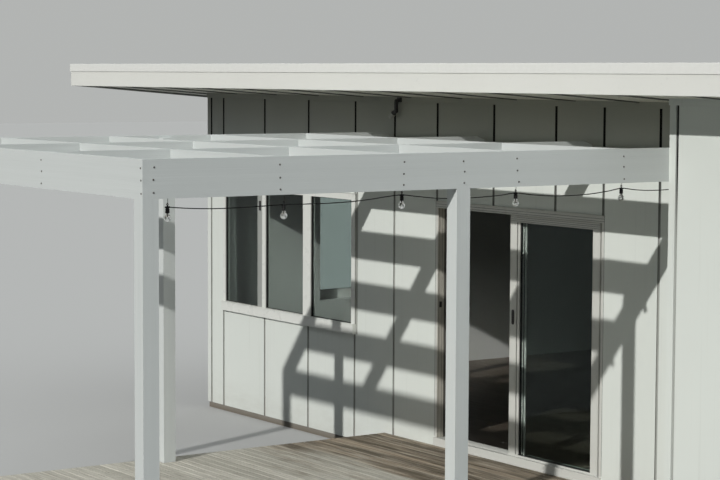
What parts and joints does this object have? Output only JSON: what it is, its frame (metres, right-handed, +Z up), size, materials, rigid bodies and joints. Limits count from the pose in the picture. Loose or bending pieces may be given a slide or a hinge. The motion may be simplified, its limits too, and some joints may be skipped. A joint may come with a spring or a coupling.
{
  "type": "beach house",
  "caption": "Single-storey white beach house with a low mono-pitch roof, a projecting wing, a sliding glass door and a timber pergola over a boarded deck.",
  "frame": {"origin": "ground level under the middle of the main floor slab", "axes": "+X along the front to the right, +Y from the front into the house, +Z up"},
  "size_m": [13.416, 12.215, 3.6937],
  "materials": {
    "concrete": "rough grey concrete",
    "wall_frame": "white painted wall",
    "sheet": "white painted fibre-cement sheet, satin",
    "trim": "white gloss trim",
    "window_frame": "white painted window frame",
    "glass": "clear grey glass",
    "door_frame": "white powder-coated door frame",
    "handle": "black powder coat",
    "lining": "pale painted lining boards",
    "rafter": "bare pine",
    "roof": "pale ribbed roof sheet",
    "fascia": "white painted board",
    "capping": "folded white metal",
    "rainwater": "white painted metal",
    "pergola": "white painted timber",
    "deck": "weathered grey-brown timber",
    "deck_frame": "weathered timber",
    "fitting": "black plastic",
    "cable": "black rubber cable",
    "lamp": "clear glass bulbs in black sockets",
    "hook": "galvanised steel"
  },
  "bodies": {
    "house": {"floor_slab": "concrete", "front_wall_left": "wall_frame", "front_wall_over_door": "wall_frame", "front_wall_right": "wall_frame", "wing_front_wall": "wall_frame", "wing_return_wall": "wall_frame", "left_wall": "wall_frame", "right_wall": "wall_frame", "back_wall": "wall_frame", "cladding_front": "sheet", "cladding_wing": "sheet", "cladding_left": "sheet", "cladding_right": "sheet", "cladding_back": "sheet", "wall_top_trim": "trim", "front_window_frame": "window_frame", "front_window_glass": "glass", "other_window_frames": "window_frame", "other_window_glass": "glass", "door_frame": "door_frame", "fixed_leaf_frame": "door_frame", "fixed_leaf_glass": "glass", "ceiling_lining": "wall_frame", "eaves_lining": "lining", "roof_rafters": "rafter", "roof_sheet": "roof", "front_fascia": "fascia", "barge_boards": "fascia", "rear_fascia": "fascia", "roof_capping": "capping", "rear_gutter": "rainwater", "downpipes": "rainwater", "near_posts": "pergola", "far_posts": "pergola", "near_beam": "pergola", "far_beam": "pergola", "outer_beam": "pergola", "pergola_rafters": "pergola", "cross_members": "pergola", "wall_ledger": "pergola", "deck_boards": "deck", "deck_joists": "deck_frame", "deck_rims": "deck_frame", "wall_light": "fitting", "festoon_hooks": "hook", "festoon_cable": "cable", "festoon_lamps": "lamp", "festoon_outlet": "fitting"},
    "sliding_door": {"sliding_leaf_frame": "door_frame", "sliding_leaf_glass": "glass", "door_handle": "handle"}
  },
  "joints": [
    {"name": "door_slide", "type": "slide", "parent": "house", "child": "sliding_door", "axis": [-1, 0, 0], "range_m": [0, 1.03]}
  ]
}
